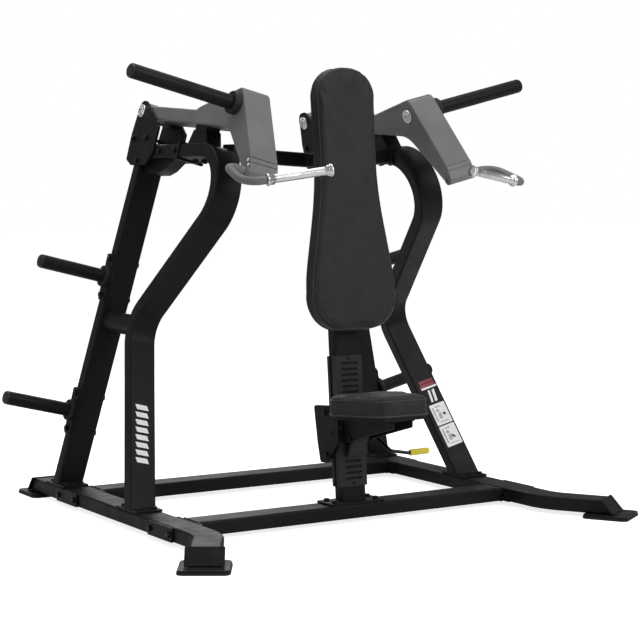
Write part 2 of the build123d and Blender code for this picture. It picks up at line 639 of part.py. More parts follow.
SLOTS = [(0, RACK_LOW + 28 + k * SLOT_PITCH) for k in range(21)]
RACK_MID = (RACK_LOW + RACK_HIGH) / 2
with BuildPart() as seat_rack:
    for level, depth in ((HALF_D + CHANNEL_T, 28), (-HALF_D - CHANNEL_T, -14)):
        with BuildSketch(COLUMN_FACE.offset(level)) as cover:
            with Locations((0, RACK_MID)):
                Rectangle(TUBE_W + 2 * CHANNEL_T, RACK_HIGH - RACK_LOW)
        extrude(cover.sketch, amount=-depth)
    with BuildSketch(COLUMN_FACE.offset(-HALF_D)) as core:
        with Locations((0, RACK_MID)):
            Rectangle(TUBE_W, RACK_HIGH - RACK_LOW)
    extrude(core.sketch, amount=TUBE_H, mode=Mode.SUBTRACT)
    with BuildSketch(COLUMN_FACE.offset(HALF_D + CHANNEL_T)) as slots:
        with Locations(*SLOTS):
            SlotOverall(67, 9)
    extrude(slots.sketch, amount=-CHANNEL_T, mode=Mode.SUBTRACT)
save(seat_rack, "seat_rack")


def pad_outline(plane, inset=0):
    """Long back pad: narrow shoulders above, wide rounded hips below."""
    top, bottom = PAD_HIGH - inset, PAD_LOW + inset
    waist = [(120, 1395), (118, 1175), (121, 1105), (136, 985), (160, 850), (172, 735)]
    with BuildSketch(plane) as shape:
        with BuildLine():
            flank = Spline(*[(x - inset, w) for x, w in waist], tangents=[(0, -1), (0, -1)])
            hip = ThreePointArc(
                flank @ 1, (137 - 0.7 * inset, bottom + 31 - 0.3 * inset), (60, bottom)
            )
            Line(hip @ 1, (0, bottom))
            crown = ThreePointArc(flank @ 0, (93 - 0.7 * inset, top - 32 + 0.3 * inset), (30, top))
            Line(crown @ 1, (0, top))
            mirror(about=Plane.YZ)
        make_face()
    return shape.sketch


with BuildPart() as back_pad_board:
    extrude(pad_outline(COLUMN_FACE.offset(HALF_D + BOARD_GAP), 9), amount=PAD_BACK - HALF_D - BOARD_GAP)
save(back_pad_board, "back_pad_board")

with BuildPart() as back_pad:
    extrude(pad_outline(COLUMN_FACE.offset(PAD_BACK)), amount=PAD_FRONT - PAD_BACK)
save(back_pad, "back_pad")

with BuildPart() as column_brackets:
    with BuildSketch(CROSSBEAM_FRONT) as link:
        Rectangle(80, 44)
    extrude(link.sketch, amount=200)
    split(bisect_by=COLUMN_FACE.offset(-HALF_D), keep=Keep.BOTTOM)
    for w in (700, 1140):
        with BuildSketch(COLUMN_FACE.offset(HALF_D)) as bracket:
            with Locations((0, w)):
                RectangleRounded(170, 70, 8)
        extrude(bracket.sketch, amount=BOARD_GAP)
    with BuildSketch(COLUMN_UP.offset(COLUMN_TOP)) as lid:
        RectangleRounded(TUBE_W, TUBE_H, TUBE_R)
    extrude(lid.sketch, amount=4)
save(column_brackets, "column_brackets")

# ----------------------------------------------------------- seat carriage
def seat_rise(y):
    """How much higher the tilted seat is at y than where it is widest."""
    return (SEAT_AT[0] - y) * tan(radians(SEAT_TILT))


PLATE_IN, PLATE_OUT = 57, 65
SEAT_PLANE = Plane(
    origin=(0, *SEAT_AT), x_dir=(1, 0, 0), z_dir=(0, sin(radians(SEAT_TILT)), cos(radians(SEAT_TILT)))
)
GLIDE_W = (168, 316)
CARRIAGE_BOLTS = [(40, w) for w in GLIDE_W]
with BuildPart() as seat_carriage:
    plate = [(112, 341), (-40, 341), (-40, 214), (-14, 192), (38, 140), (84, 140), (98, 210)]
    extrude(outline(COLUMN_SIDE.offset(PLATE_IN), plate, 12), amount=PLATE_OUT - PLATE_IN)
    mirror(about=Plane.YZ)
    front_plate = [(-40, 214), (-32, 214), (-32, 341), (-40, 341)]
    extrude(outline(COLUMN_SIDE.offset(-PLATE_OUT), front_plate), amount=2 * PLATE_OUT)
    level = SEAT_AT[1] - SEAT_BOARD_T - SUPPORT_T / 2
    arm = [(-316, level + seat_rise(-316)), (-622, level + seat_rise(-622)), (-622, 361), (-469, 318),
           (-326, 276)]
    for x in (34, -40):
        extrude(outline(Plane.YZ.offset(x), arm), amount=6)
        round_bar(Plane.YZ.offset(x), [RELEASE_AT], 17, 6)
    support = [(-60, 63), (60, 63), (60, -204), (-60, -204)]
    extrude(outline(SEAT_PLANE.offset(-SEAT_BOARD_T - SUPPORT_T), support, 12), amount=SUPPORT_T)
    drill(Plane.YZ.offset(60), [RELEASE_AT], ROD_R + RUN_FIT, 120)
    drill(COLUMN_SIDE.offset(PLATE_OUT), CARRIAGE_BOLTS, BOLT_R, 2 * PLATE_OUT)
save(seat_carriage, "seat_carriage")

with BuildPart() as carriage_glides:
    for w in GLIDE_W:
        rear = [(29, w - 16), (50, w - 16), (50, w + 16), (29, w + 16)]
        extrude(outline(COLUMN_SIDE.offset(-PLATE_IN), rear), amount=2 * PLATE_IN)
    for x in (39, -53):
        front = [(-32, 220), (-29, 220), (-29, 335), (-32, 335)]
        extrude(outline(COLUMN_SIDE.offset(x), front), amount=14)
    drill(COLUMN_SIDE.offset(PLATE_IN), CARRIAGE_BOLTS, BOLT_R, 2 * PLATE_IN)
save(carriage_glides, "carriage_glides")

with BuildPart() as carriage_bolts:
    hex_bolts(COLUMN_SIDE.offset(PLATE_OUT), CARRIAGE_BOLTS, 2 * PLATE_OUT)
save(carriage_bolts, "carriage_bolts")

SEAT = [(-100, 60), (-157, 0), (-94, -237), (94, -237), (157, 0), (100, 60)]
SEAT_BACK = SEAT[0][1]
BOARD = [(x * 0.9, SEAT_BACK + (y - SEAT_BACK) * 0.94 - 8) for x, y in SEAT]
with BuildPart() as seat_board:
    extrude(outline(SEAT_PLANE.offset(-SEAT_BOARD_T), BOARD, 25), amount=SEAT_BOARD_T)
save(seat_board, "seat_board")

with BuildPart() as seat_pad:
    extrude(outline(SEAT_PLANE, SEAT, 36), amount=SEAT_T)
    fillet(seat_pad.faces().sort_by(Axis((0, 0, 0), SEAT_PLANE.z_dir))[-1].edges(), 12)
save(seat_pad, "seat_pad")

# ---------------------------------------------------------- seat release
SHAFT_Y, SHAFT_Z = RELEASE_AT
with BuildPart() as release_lever:
    with BuildLine() as rod_path:
        FilletPolyline(
            (-46, SHAFT_Y, SHAFT_Z), (64, SHAFT_Y, SHAFT_Z), (68, -450, 258),
            (134, -462, 247), (ROD_END, -462, 249), radius=13,
        )
    sweep(discs(Plane(origin=rod_path.line @ 0, z_dir=rod_path.line % 0), [(0, 0)], ROD_R),
          path=rod_path.line)
save(release_lever, "release_lever")

with BuildPart() as release_grip:
    grip_end = Plane(origin=(GRIP_AT, -462, 247.1), z_dir=(ROD_END - 134, 0, 2))
    round_bar(grip_end, [(0, 0)], *GRIP_SIZE)
    fillet(release_grip.edges(), 4)
    add(release_lever.part, mode=Mode.SUBTRACT)
save(release_grip, "release_grip")

with BuildPart() as release_pawl:
    tip = (-320.6, 228)
    blade = [(SHAFT_Y - 7, SHAFT_Z), (SHAFT_Y + 8, SHAFT_Z + 6), (tip[0], tip[1] + 5), tip,
             (tip[0] - 12, tip[1])]
    extrude(outline(Plane.YZ.offset(-29), blade), amount=58)
    round_bar(Plane.YZ.offset(-29), [RELEASE_AT], 12, 58)
    drill(Plane.YZ.offset(29), [RELEASE_AT], ROD_R, 58)
save(release_pawl, "release_pawl")
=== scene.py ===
import json
import random
from math import cos, pi, radians, sin, tau

import bmesh
import bpy
from mathutils import Matrix, Vector


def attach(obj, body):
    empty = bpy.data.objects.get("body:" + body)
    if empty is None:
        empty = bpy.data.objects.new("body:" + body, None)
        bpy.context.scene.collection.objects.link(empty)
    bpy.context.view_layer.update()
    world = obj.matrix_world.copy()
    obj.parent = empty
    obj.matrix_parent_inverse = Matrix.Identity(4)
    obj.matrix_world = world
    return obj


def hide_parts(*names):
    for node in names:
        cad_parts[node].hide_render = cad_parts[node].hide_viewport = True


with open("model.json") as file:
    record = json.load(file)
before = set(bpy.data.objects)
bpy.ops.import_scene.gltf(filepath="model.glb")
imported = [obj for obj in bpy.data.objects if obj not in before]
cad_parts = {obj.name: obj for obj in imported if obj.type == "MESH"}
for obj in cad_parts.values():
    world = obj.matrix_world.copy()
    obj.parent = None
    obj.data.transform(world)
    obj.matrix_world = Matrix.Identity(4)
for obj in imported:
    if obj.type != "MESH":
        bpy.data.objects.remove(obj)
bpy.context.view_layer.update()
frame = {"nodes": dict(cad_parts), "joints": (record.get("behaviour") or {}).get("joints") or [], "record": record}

NODES = frame["nodes"]
JOINTS = {joint["name"]: joint for joint in frame["joints"]}
COLUMN_UP = Vector(JOINTS["seat_slide"]["axis"])
COLUMN_FRONT = Vector((0, -COLUMN_UP.z, COLUMN_UP.y))
COLUMN_FOOT = Vector((0, -0.305, 0.065))
SEAT_TILT = radians(3.2)
SIDES = ("left", "right")
PIVOT_Y, PIVOT_S = 475, 1404        # side-frame mm of the arm pivots
MERGE = 0.00002                     # corners of packed triangles nearer than this are one
FLAT = radians(0.6)                 # faces that meet flatter than this are one
SHARP = radians(25)
SCENE = bpy.context.scene


def outward(side):
    """Unit vector square to a leaning side frame, away from the machine."""
    axis = Vector(JOINTS[f"{side}_arm_pivot"]["axis"])
    return axis if axis.z > 0 else -axis


def at_side(side, y, s, n):
    """World point from side-frame millimetres: along the machine, up the lean, outwards."""
    out = outward(side)
    up = Vector((-out.z if out.x > 0 else out.z, 0, abs(out.x)))
    pivot = Vector(JOINTS[f"{side}_arm_pivot"]["pos_m"])
    along = Vector((0, (y - PIVOT_Y) / 1000, 0))
    return pivot + along + up * ((s - PIVOT_S) / 1000) + out * (n / 1000)


# ------------------------------------------------------------------ camera
def make_camera():
    """Long lens at eye height, in front of the machine on the user's right."""
    data = bpy.data.cameras.new("camera")
    data.lens = 97.5
    data.sensor_width = 36
    data.clip_end = 200
    camera = bpy.data.objects.new("camera", data)
    camera.location = (-3.2787, -5.3214, 1.1504)
    camera.rotation_euler = (radians(90 - 4.28), 0, radians(-32.14))
    SCENE.collection.objects.link(camera)
    SCENE.camera = camera


make_camera()


# --------------------------------------------------------------- materials
class Shader:
    """A material with one Principled shader and short calls for the nodes that feed it."""

    def __init__(self, name, **constants):
        self.material = bpy.data.materials.new(name)
        self.material.use_nodes = True
        self.tree = self.material.node_tree
        self.main = self.tree.nodes["Principled BSDF"]
        for socket, value in constants.items():
            self.main.inputs[socket.replace("_", " ")].default_value = value
        self.place = self.node("ShaderNodeTexCoord").outputs["Object"]

    def node(self, kind, links=None, **settings):
        made = self.tree.nodes.new(kind)
        for key, value in settings.items():
            setattr(made, key, value)
        for socket, source in (links or {}).items():
            if hasattr(source, "is_output"):
                self.tree.links.new(source, made.inputs[socket])
            else:
                made.inputs[socket].default_value = source
        return made

    def noise(self, scale, detail=2.0, rough=0.5):
        links = {"Vector": self.place, "Scale": scale, "Detail": detail, "Roughness": rough}
        return self.node("ShaderNodeTexNoise", links).outputs["Fac"]

    def voronoi(self, scale, feature="DISTANCE_TO_EDGE"):
        links = {"Vector": self.place, "Scale": scale}
        return self.node("ShaderNodeTexVoronoi", links, feature=feature).outputs["Distance"]

    def remap(self, value, low, high, to_low=0.0, to_high=1.0):
        links = {"Value": value, "From Min": low, "From Max": high, "To Min": to_low, "To Max": to_high}
        return self.node("ShaderNodeMapRange", links, interpolation_type="SMOOTHSTEP").outputs["Result"]

    def math(self, operation, a, b=0.0):
        return self.node("ShaderNodeMath", {0: a, 1: b}, operation=operation).outputs[0]

    def mix(self, share, a, b):
        node = self.node("ShaderNodeMix", {"Factor": share}, data_type="RGBA")
        for socket, source in ((6, a), (7, b)):
            if hasattr(source, "is_output"):
                self.tree.links.new(source, node.inputs[socket])
            else:
                node.inputs[socket].default_value = (*source, 1)
        return node.outputs[2]

    def edges(self, radius):
        """1 on sharp edges, 0 on flat ground."""
        bevel = self.node("ShaderNodeBevel", {"Radius": radius}, samples=4).outputs["Normal"]
        plain = self.node("ShaderNodeNewGeometry").outputs["Normal"]
        dot = self.node("ShaderNodeVectorMath", {0: bevel, 1: plain}, operation="DOT_PRODUCT")
        return self.remap(dot.outputs["Value"], 0.985, 0.80)

    def facing_up(self):
        normal = self.node("ShaderNodeNewGeometry").outputs["Normal"]
        split = self.node("ShaderNodeSeparateXYZ", {0: normal}).outputs["Z"]
        return self.remap(split, 0.35, 0.95)

    def bump(self, height, distance, strength=1.0, onto=None):
        links = {"Height": height, "Distance": distance, "Strength": strength}
        if onto is not None:
            links["Normal"] = onto
        return self.node("ShaderNodeBump", links).outputs["Normal"]

    def feed(self, socket, source):
        self.tree.links.new(source, self.main.inputs[socket])


def powder_coat(name, colour, light, rough=(0.40, 0.52), shine=0.16):
    """Satin powder coat: orange peel, a painted highlight on its sharp edges, a little dust on what faces up."""
    s = Shader(name, Specular_IOR_Level=shine)
    # sharp edges mixed towards the lighter colour: painted highlight
    edge_highlight = s.math("MULTIPLY", s.edges(0.0025), s.remap(s.noise(55, 3), 0.42, 0.68))
    cloud = s.remap(s.noise(7, 4), 0.3, 0.7)
    body = s.mix(cloud, colour, [c * 1.18 for c in colour])
    dusty = s.math("MULTIPLY", s.facing_up(), s.remap(s.noise(24, 6, 0.65), 0.45, 0.8, 0, 0.10))
    s.feed("Base Color", s.mix(dusty, s.mix(edge_highlight, body, light), (0.22, 0.21, 0.20)))
    gloss = s.remap(s.noise(16, 5), 0.25, 0.75, *rough)
    s.feed("Roughness", s.math("ADD", gloss, s.math("MULTIPLY", dusty, 0.6)))
    peel = s.bump(s.noise(620, 2, 0.55), 0.00012, 0.6)
    s.feed("Normal", s.bump(s.noise(2300, 1), 0.00003, 0.5, peel))
    return s.material


def vinyl(name, colour):
    """Upholstery vinyl with a pebbled grain whose valleys carry painted shade, soft creases and a dull shine."""
    s = Shader(name, Specular_IOR_Level=0.36, Sheen_Weight=0.08, Sheen_Roughness=0.5)
    grain = s.remap(s.voronoi(950), 0.0, 0.22)
    fine = s.voronoi(2600, "F1")
    creases = s.noise(38, 5, 0.6)
    cloud = s.remap(s.noise(9, 5), 0.3, 0.7)
    base = s.mix(cloud, colour, [c * 1.22 for c in colour])
    # the grain's valleys mixed towards a darker colour: painted shade
    s.feed("Base Color", s.mix(s.remap(grain, 0, 1, 0.5, 0), base, [c * 0.55 for c in colour]))
    s.feed("Roughness", s.remap(s.noise(21, 4), 0.3, 0.7, 0.46, 0.6))
    wrinkled = s.bump(creases, 0.0011, 0.35)
    pebbled = s.bump(grain, 0.00022, 0.55, wrinkled)
    s.feed("Normal", s.bump(fine, 0.00006, 0.4, pebbled))
    return s.material


def metal(name, colour, rough, grain=0.0, smudge=0.08):
    """Bare or plated steel with fine lines or smudges in its shine."""
    s = Shader(name, Metallic=1.0)
    s.feed("Base Color", s.mix(s.noise(30, 4), colour, [c * 0.86 for c in colour]))
    s.feed("Roughness", s.remap(s.noise(46, 5, 0.6), 0.3, 0.75, rough, rough + smudge))
    lines = s.noise(1500, 2)
    s.feed("Normal", s.bump(lines, 0.00004, 0.15 + grain))
    return s.material


def moulded(name, colour, rough, bump=0.00008, scale=900):
    """Moulded rubber or plastic with a fine spark-eroded texture."""
    s = Shader(name, Specular_IOR_Level=0.4)
    cloud = s.remap(s.noise(18, 5), 0.3, 0.7)
    scuff = s.math("MULTIPLY", s.edges(0.002), s.remap(s.noise(70, 3), 0.4, 0.7))
    body = s.mix(cloud, colour, [min(1, c * 1.25) for c in colour])
    s.feed("Base Color", s.mix(scuff, body, [min(1, c * 1.9 + 0.012) for c in colour]))
    s.feed("Roughness", s.remap(s.noise(30, 4), 0.3, 0.7, rough - 0.06, rough + 0.06))
    s.feed("Normal", s.bump(s.noise(scale, 3), bump, 0.7))
    return s.material


def plywood(name):
    """Stained plywood: dark, with its plies and grain just showing."""
    s = Shader(name, Specular_IOR_Level=0.25)
    stretch = s.node("ShaderNodeMapping", {"Vector": s.place, "Scale": (60, 6, 6)}).outputs[0]
    grain = s.node("ShaderNodeTexNoise", {"Vector": stretch, "Scale": 4.0, "Detail": 6.0}).outputs["Fac"]
    s.feed("Base Color", s.mix(s.remap(grain, 0.35, 0.7), (0.006, 0.0055, 0.005), (0.02, 0.017, 0.014)))
    s.feed("Roughness", s.remap(grain, 0.3, 0.7, 0.6, 0.8))
    s.feed("Normal", s.bump(grain, 0.0002, 0.5))
    return s.material


MATERIALS = {
    # the second colour of each powder coat is its painted edge highlight
    "frame_paint": powder_coat("frame_paint", (0.0088, 0.0088, 0.0093), (0.034, 0.034, 0.036)),
    "arm_paint": powder_coat("arm_paint", (0.172, 0.173, 0.176), (0.28, 0.28, 0.29), (0.40, 0.5), 0.3),
    "rack_paint": powder_coat("rack_paint", (0.026, 0.026, 0.027), (0.09, 0.09, 0.092), (0.36, 0.46), 0.25),
    "black_oxide": metal("black_oxide", (0.035, 0.035, 0.037), 0.34),
    "rubber": moulded("rubber", (0.011, 0.011, 0.0115), 0.68, 0.00014, 700),
    "chrome": metal("chrome", (0.92, 0.92, 0.91), 0.24, 0.0, 0.14),
    "end_cap": moulded("end_cap", (0.013, 0.013, 0.0135), 0.42),
    "upholstery": vinyl("upholstery", (0.0136, 0.0136, 0.0142)),
    "plywood": plywood("plywood"),
    "shaft_steel": metal("shaft_steel", (0.36, 0.36, 0.37), 0.26, 0.15),
    "bearing_steel": metal("bearing_steel", (0.5, 0.5, 0.52), 0.2, 0.1),
    "nylon": moulded("nylon", (0.04, 0.04, 0.042), 0.5),
    "yellow_grip": moulded("yellow_grip", (0.66, 0.56, 0.04), 0.36, 0.0001, 300),
    # piping colour lighter than the upholstery: painted highlight along the pads' rims
    "piping_painted_highlight": moulded("piping_painted_highlight", (0.045, 0.045, 0.047), 0.40, 0.00004, 800),
    "thread": moulded("thread", (0.05, 0.05, 0.052), 0.8),
    "film_white": moulded("film_white", (0.93, 0.93, 0.92), 0.38, 0.00002, 500),
    "film_red": moulded("film_red", (0.26, 0.028, 0.05), 0.38, 0.00002, 500),
    "film_grey": moulded("film_grey", (0.42, 0.42, 0.42), 0.45, 0.00002, 500),
    "film_black": moulded("film_black", (0.02, 0.02, 0.02), 0.45, 0.00002, 500),
}
SLOTS = {row["node"]: row["material_slot"] for row in frame["record"]["subparts"]}


def dress(piece, slot):
    piece.data.materials.clear()
    piece.data.materials.append(MATERIALS[slot])


def soften_edges(piece, width):
    """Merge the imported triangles, then round the sharp edges a little."""
    weld = piece.modifiers.new("weld", "WELD")
    weld.merge_threshold = MERGE
    planar = piece.modifiers.new("planar", "DECIMATE")
    planar.decimate_type = "DISSOLVE"
    planar.angle_limit = FLAT
    bevel(piece, width, radians(32))
    piece.modifiers.new("normals", "WEIGHTED_NORMAL")


def bevel(piece, width, angle):
    """Round every edge that turns by more than an angle."""
    rounding = piece.modifiers.new("bevel", "BEVEL")
    rounding.width = width
    rounding.segments = 2
    rounding.limit_method = "ANGLE"
    rounding.angle_limit = angle


EDGE, FINE_EDGE = 0.0008, 0.0003
WIDER_EDGES = {"seat_rack": 0.0017, "foot_plates": 0.0015}
for node_name, node in NODES.items():
    dress(node, SLOTS[node_name])
    soften_edges(node, WIDER_EDGES.get(node_name, EDGE))


# ------------------------------------------------------------------- stage
def softbox(name, place, aim, size, watts, tint=(1, 1, 1)):
    data = bpy.data.lights.new(name, "AREA")
    data.shape = "RECTANGLE"
    data.size, data.size_y = size
    data.energy = watts
    data.color = tint
    light = bpy.data.objects.new(name, data)
    light.location = place
    light.rotation_euler = (Vector(aim) - Vector(place)).to_track_quat("-Z", "Y").to_euler()
    SCENE.collection.objects.link(light)


def make_stage():
    """Plain white floor that runs into a white room, with large soft lights."""
    mesh = bpy.data.meshes.new("floor")
    reach = 40
    corners = [(-reach, -reach, 0), (reach, -reach, 0), (reach, reach, 0), (-reach, reach, 0)]
    mesh.from_pydata(corners, [], [(0, 1, 2, 3)])
    floor = bpy.data.objects.new("floor", mesh)
    SCENE.collection.objects.link(floor)
    s = Shader("floor", Roughness=0.85, Specular_IOR_Level=0.1)
    s.feed("Base Color", s.mix(s.noise(3, 4), (0.84, 0.84, 0.84), (0.88, 0.88, 0.88)))
    seen = s.node("ShaderNodeLightPath").outputs["Is Camera Ray"]
    s.main.inputs["Emission Color"].default_value = (1, 1, 1, 1)
    s.feed("Emission Strength", s.math("MULTIPLY", seen, 0.8))
    mesh.materials.append(s.material)
    world = bpy.data.worlds.new("room")
    SCENE.world = world
    world.use_nodes = True
    tree = world.node_tree
    background = tree.nodes["Background"]
    background.inputs["Color"].default_value = (1, 1, 1, 1)
    background.inputs["Strength"].default_value = 0.24
    seen = tree.nodes.new("ShaderNodeBackground")
    seen.inputs["Color"].default_value = (1, 1, 1, 1)
    seen.inputs["Strength"].default_value = 1.0
    ray = tree.nodes.new("ShaderNodeLightPath")
    mix = tree.nodes.new("ShaderNodeMixShader")
    tree.links.new(ray.outputs["Is Camera Ray"], mix.inputs[0])
    tree.links.new(background.outputs[0], mix.inputs[1])
    tree.links.new(seen.outputs[0], mix.inputs[2])
    tree.links.new(mix.outputs[0], tree.nodes["World Output"].inputs[0])
    softbox("key", (1.6, -4.6, 3.4), (0, 0, 0.8), (2.6, 2.6), 108)
    softbox("top", (0, 0.2, 4.4), (0, 0, 0), (3.4, 3.4), 80)
    softbox("left", (-4.6, 0.4, 1.9), (0, 0, 0.9), (1.2, 2.6), 22)
    softbox("back", (1.2, 4.4, 2.6), (0, 0, 1.0), (3.0, 1.6), 60)
    SCENE.view_settings.view_transform = "Standard"
    SCENE.view_settings.look = "None"


make_stage()


# ------------------------------------------------------------ mesh helpers
def add_piece(name, mesh, slot, body, smooth=True):
    piece = bpy.data.objects.new(name, mesh)
    SCENE.collection.objects.link(piece)
    dress(piece, slot)
    if smooth:
        mesh.polygons.foreach_set("use_smooth", [True] * len(mesh.polygons))
    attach(piece, body)
    return piece


def cad_mesh(node_name):
    """A welded working copy of a CAD node's mesh."""
    bm = bmesh.new()
    bm.from_mesh(NODES[node_name].data)
    bmesh.ops.remove_doubles(bm, verts=bm.verts, dist=MERGE)
    bmesh.ops.dissolve_limit(bm, angle_limit=FLAT, verts=bm.verts, edges=bm.edges)
    return bm


def islands(bm):
    """Vertex lists of the separate solids in a mesh."""
    left = set(bm.verts)
    while left:
        stack = [left.pop()]
        island = []
        while stack:
            vert = stack.pop()
            island.append(vert)
            for edge in vert.link_edges:
                other = edge.other_vert(vert)
                if other in left:
                    left.remove(other)
                    stack.append(other)
        yield island


def cut_loops(node_name, point, normal):
    """The closed outlines where a plane cuts a CAD node, the longest last."""
    bm = cad_mesh(node_name)
    geometry = bm.verts[:] + bm.edges[:] + bm.faces[:]
    cut = bmesh.ops.bisect_plane(
        bm, geom=geometry, plane_co=point, plane_no=normal, clear_inner=True, clear_outer=True
    )["geom_cut"]
    edges = [item for item in cut if isinstance(item, bmesh.types.BMEdge)]
    loops = []
    while edges:
        edge = edges.pop()
        loop = [edge.verts[0], edge.verts[1]]
        grown = True
        while grown:
            grown = False
            for other in edges:
                if loop[-1] in other.verts:
                    loop.append(other.other_vert(loop[-1]))
                    edges.remove(other)
                    grown = True
                    break
        loops.append([vert.co.copy() for vert in loop[:-1]])
    bm.free()
    return sorted(loops, key=perimeter)


def perimeter(loop):
    return sum((a - b).length for a, b in zip(loop, loop[1:] + loop[:1]))


def even(loop, step):
    """The same closed outline with evenly spaced points."""
    whole = perimeter(loop)
    count = max(8, round(whole / step))
    points, travelled, target = [], 0.0, 0.0
    for a, b in zip(loop, loop[1:] + loop[:1]):
        run = (b - a).length
        while target <= travelled + run - 1e-9 and len(points) < count:
            points.append(a.lerp(b, (target - travelled) / max(run, 1e-9)))
            target += whole / count
        travelled += run
    return points


def tube_along(points, radius, sides=8, closed=True, lumps=0.0, seed=1):
    """Mesh of a round bead that follows points."""
    rng = random.Random(seed)
    count = len(points)
    rings = []
    side = None
    for i, point in enumerate(points):
        before = points[i - 1] if closed or i else points[i]
        after = points[(i + 1) % count] if closed or i + 1 < count else points[i]
        along = (after - before).normalized()
        if side is None:
            side = along.orthogonal().normalized()
        side = (side - along * side.dot(along)).normalized()
        up = along.cross(side)
        size = radius * (1 + lumps * (rng.random() - 0.5))
        turns = [tau * k / sides for k in range(sides)]
        rings.append([point + (side * cos(t) + up * sin(t)) * size for t in turns])
    verts = [v for ring in rings for v in ring]
    faces = []
    for i in range(count if closed else count - 1):
        j = (i + 1) % count
        shift = 0
        if closed and j == 0:
            shift = min(range(sides), key=lambda k: (rings[0][k] - rings[i][0]).length)
        for k in range(sides):
            m = (k + 1) % sides
            faces.append((i * sides + k, i * sides + m, j * sides + (m + shift) % sides,
                          j * sides + (k + shift) % sides))
    if not closed:
        faces.append(tuple(reversed(range(sides))))
        faces.append(tuple((count - 1) * sides + k for k in range(sides)))
    return verts, faces


def join_parts(name, parts):
    """One mesh out of several (vertices, faces) pairs."""
    verts, faces = [], []
    for part_verts, part_faces in parts:
        base = len(verts)
        verts += part_verts
        faces += [[base + i for i in face] for face in part_faces]
    mesh = bpy.data.meshes.new(name)
    mesh.from_pydata(verts, [], faces)
    mesh.validate()
    return mesh


# -------------------------------------------------------------------- pads
VOXEL, QUICK_VOXEL = 0.005, 0.006
SHRINK = 0.0022                     # a pad starts this much smaller, because it swells
SWELL_CAP = 0.0045                  # and no point of it moves further than this
SEAM_DEPTH, REAR_SEAM = 0.013, 0.006
CLOTH_FRAMES = 20


def apply_modifiers(piece):
    """Replace a piece's mesh by what its modifiers make of it."""
    graph = bpy.context.evaluated_depsgraph_get()
    mesh = bpy.data.meshes.new_from_object(piece.evaluated_get(graph), depsgraph=graph)
    piece.modifiers.clear()
    piece.data = mesh


def make_pad(node_name, forward, body, rim):
    """Upholstered pad: rounded foam block, swollen as cloth, its back held flat on the board."""
    bm = cad_mesh(node_name)
    heights = [vert.co.dot(forward) for vert in bm.verts]
    back, front = min(heights), max(heights)
    rim_edges = [
        edge for edge in bm.edges
        if all(abs(vert.co.dot(forward) - front) < 0.0005 for vert in edge.verts)
    ]
    bmesh.ops.bevel(bm, geom=rim_edges, offset=rim, segments=5, profile=0.5, affect="EDGES")
    mesh = bpy.data.meshes.new(node_name + "_cover")
    bm.to_mesh(mesh)
    bm.free()
    pad = bpy.data.objects.new(node_name + "_cover", mesh)
    SCENE.collection.objects.link(pad)
    remesh = pad.modifiers.new("remesh", "REMESH")
    remesh.mode = "VOXEL"
    remesh.voxel_size = VOXEL
    apply_modifiers(pad)
    smooth = pad.modifiers.new("smooth", "SMOOTH")
    smooth.iterations = 3
    apply_modifiers(pad)
    mesh = pad.data
    for vert in mesh.vertices:
        depth = (vert.co.dot(forward) - back) / (front - back)
        vert.co -= vert.normal * SHRINK * min(1.0, max(0.0, depth * 3))
    rest = [vert.co.copy() for vert in mesh.vertices]
    swell(pad, forward, back, front)
    for vert, start in zip(pad.data.vertices, rest):
        shift = vert.co - start
        if shift.length > SWELL_CAP:
            vert.co = start + shift * (SWELL_CAP / shift.length)
    subdivide = pad.modifiers.new("subdivide", "SUBSURF")
    subdivide.levels = subdivide.render_levels = 1
    apply_modifiers(pad)
    pad.data.polygons.foreach_set("use_smooth", [True] * len(pad.data.polygons))
    dress(pad, "upholstery")
    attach(pad, body)
    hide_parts(node_name)
    return pad, back, front


def swell(pad, forward, back, front):
    """Run the cloth simulation on a pad and keep its last frame."""
    held = pad.vertex_groups.new(name="held")
    depth = front - back
    for vert in pad.data.vertices:
        share = (vert.co.dot(forward) - back) / depth
        weight = 1.0 if share < 0.1 else max(0.0, 0.35 - share) * 1.5
        if weight > 0:
            held.add([vert.index], weight, "REPLACE")
    cloth = pad.modifiers.new("cloth", "CLOTH")
    settings = cloth.settings
    settings.use_pressure = True
    settings.uniform_pressure_force = 2.5
    settings.vertex_group_mass = "held"
    settings.tension_stiffness = 25
    settings.compression_stiffness = 25
    settings.shear_stiffness = 12
    settings.bending_stiffness = 3
    settings.mass = 0.3
    settings.quality = 5
    settings.effector_weights.gravity = 0
    cloth.collision_settings.use_self_collision = False
    cloth.point_cache.frame_start = 1
    cloth.point_cache.frame_end = CLOTH_FRAMES
    for frame_number in range(1, CLOTH_FRAMES + 1):
        SCENE.frame_set(frame_number)
    apply_modifiers(pad)
    SCENE.frame_set(1)


def outline_at(pad, forward, level):
    """The pad's outer outline at a height along forward."""
    bm = bmesh.new()
    bm.from_mesh(pad.data)
    geometry = bm.verts[:] + bm.edges[:] + bm.faces[:]
    cut = bmesh.ops.bisect_plane(bm, geom=geometry, plane_co=forward * level, plane_no=forward)["geom_cut"]
    near = {}
    for item in cut:
        if isinstance(item, bmesh.types.BMEdge):
            a, b = item.verts
            near.setdefault(a, []).append(b)
            near.setdefault(b, []).append(a)
    start = next(iter(near))
    loop, last, here = [start], None, start
    while True:
        step = [vert for vert in near[here] if vert is not last]
        if not step or step[0] is start:
            break
        last, here = here, step[0]
        loop.append(here)
        if len(loop) > len(near):
            break
    points = [vert.co.copy() for vert in loop]
    bm.free()
    return points


